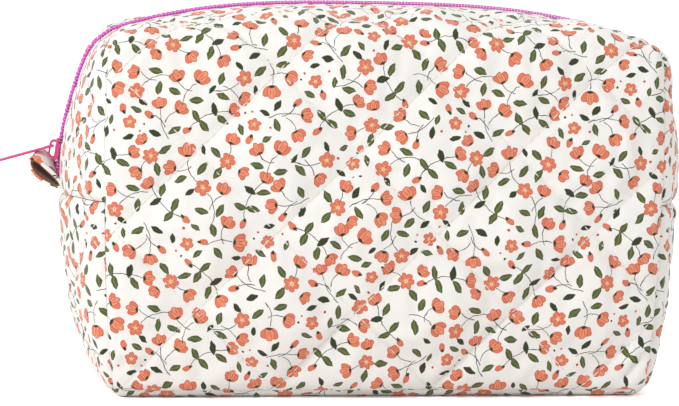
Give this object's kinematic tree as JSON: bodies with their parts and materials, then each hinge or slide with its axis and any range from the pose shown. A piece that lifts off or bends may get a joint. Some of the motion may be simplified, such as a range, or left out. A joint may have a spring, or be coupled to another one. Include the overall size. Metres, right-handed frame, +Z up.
{
  "type": "makeup bag",
  "caption": "Stuffed quilted cotton box pouch with a coil zip over the top and down both ends, opening top flaps, a slider with a pull tab, and a ribbon loop in one end seam.",
  "frame": {"origin": "middle of the flat base", "axes": "+Z up, the front faces -Y, +X to the right, so the side loop and the closed slider are at -X"},
  "size_m": [0.3206, 0.1384, 0.1778],
  "materials": {
    "quilted_cotton": "matt printed cotton, quilted",
    "wadding": "soft fleece",
    "lining": "matt plain cotton",
    "binding_cotton": "matt cotton tape",
    "loop_ribbon": "matt printed cotton",
    "thread": "spun thread",
    "zip_tape": "woven tape",
    "zip_coil": "satin nylon",
    "slider_metal": "gloss enamel"
  },
  "bodies": {
    "root": {"front_shell": "quilted_cotton", "back_shell": "quilted_cotton", "base_shell": "quilted_cotton", "left_end_shell": "quilted_cotton", "right_end_shell": "quilted_cotton", "left_front_shell": "quilted_cotton", "left_back_shell": "quilted_cotton", "right_front_shell": "quilted_cotton", "right_back_shell": "quilted_cotton", "front_wadding": "wadding", "back_wadding": "wadding", "base_wadding": "wadding", "left_end_wadding": "wadding", "right_end_wadding": "wadding", "left_front_wadding": "wadding", "left_back_wadding": "wadding", "right_front_wadding": "wadding", "right_back_wadding": "wadding", "front_lining": "lining", "back_lining": "lining", "base_lining": "lining", "left_end_lining": "lining", "right_end_lining": "lining", "left_front_lining": "lining", "left_back_lining": "lining", "right_front_lining": "lining", "right_back_lining": "lining", "left_front_zip_tape": "zip_tape", "left_back_zip_tape": "zip_tape", "right_front_zip_tape": "zip_tape", "right_back_zip_tape": "zip_tape", "left_front_zip_coil": "zip_coil", "left_back_zip_coil": "zip_coil", "right_front_zip_coil": "zip_coil", "right_back_zip_coil": "zip_coil", "left_zip_stop": "slider_metal", "left_front_seam_binding": "binding_cotton", "left_back_seam_binding": "binding_cotton", "right_zip_stop": "slider_metal", "right_front_seam_binding": "binding_cotton", "right_back_seam_binding": "binding_cotton", "side_loop": "loop_ribbon"},
    "front_flap": {"front_flap_shell": "quilted_cotton", "front_flap_wadding": "wadding", "front_flap_lining": "lining", "front_flap_zip_tape": "zip_tape", "front_flap_zip_coil": "zip_coil"},
    "back_flap": {"back_flap_shell": "quilted_cotton", "back_flap_wadding": "wadding", "back_flap_lining": "lining", "back_flap_zip_tape": "zip_tape", "back_flap_zip_coil": "zip_coil"},
    "slider": {"slider_body": "slider_metal", "slider_bridge": "slider_metal"},
    "puller": {"puller_tab": "slider_metal"}
  },
  "joints": [
    {"name": "front_flap_lift", "type": "hinge", "parent": "root", "child": "front_flap", "pos_m": [0, -0.0606, 0.1629], "axis": [1, 0, 0], "range_deg": [0, 70]},
    {"name": "back_flap_lift", "type": "hinge", "parent": "root", "child": "back_flap", "pos_m": [0, 0.0606, 0.1629], "axis": [-1, 0, 0], "range_deg": [0, 70]},
    {"name": "slider_travel", "type": "hinge", "parent": "root", "child": "slider", "pos_m": [0.04028, 0, 0.08], "axis": [0, 1, 0], "range_deg": [0, 10]},
    {"name": "puller_swing", "type": "hinge", "parent": "slider", "child": "puller", "pos_m": [-0.14778, 0, 0.10899], "axis": [0, 1, 0], "range_deg": [0, 100]}
  ]
}
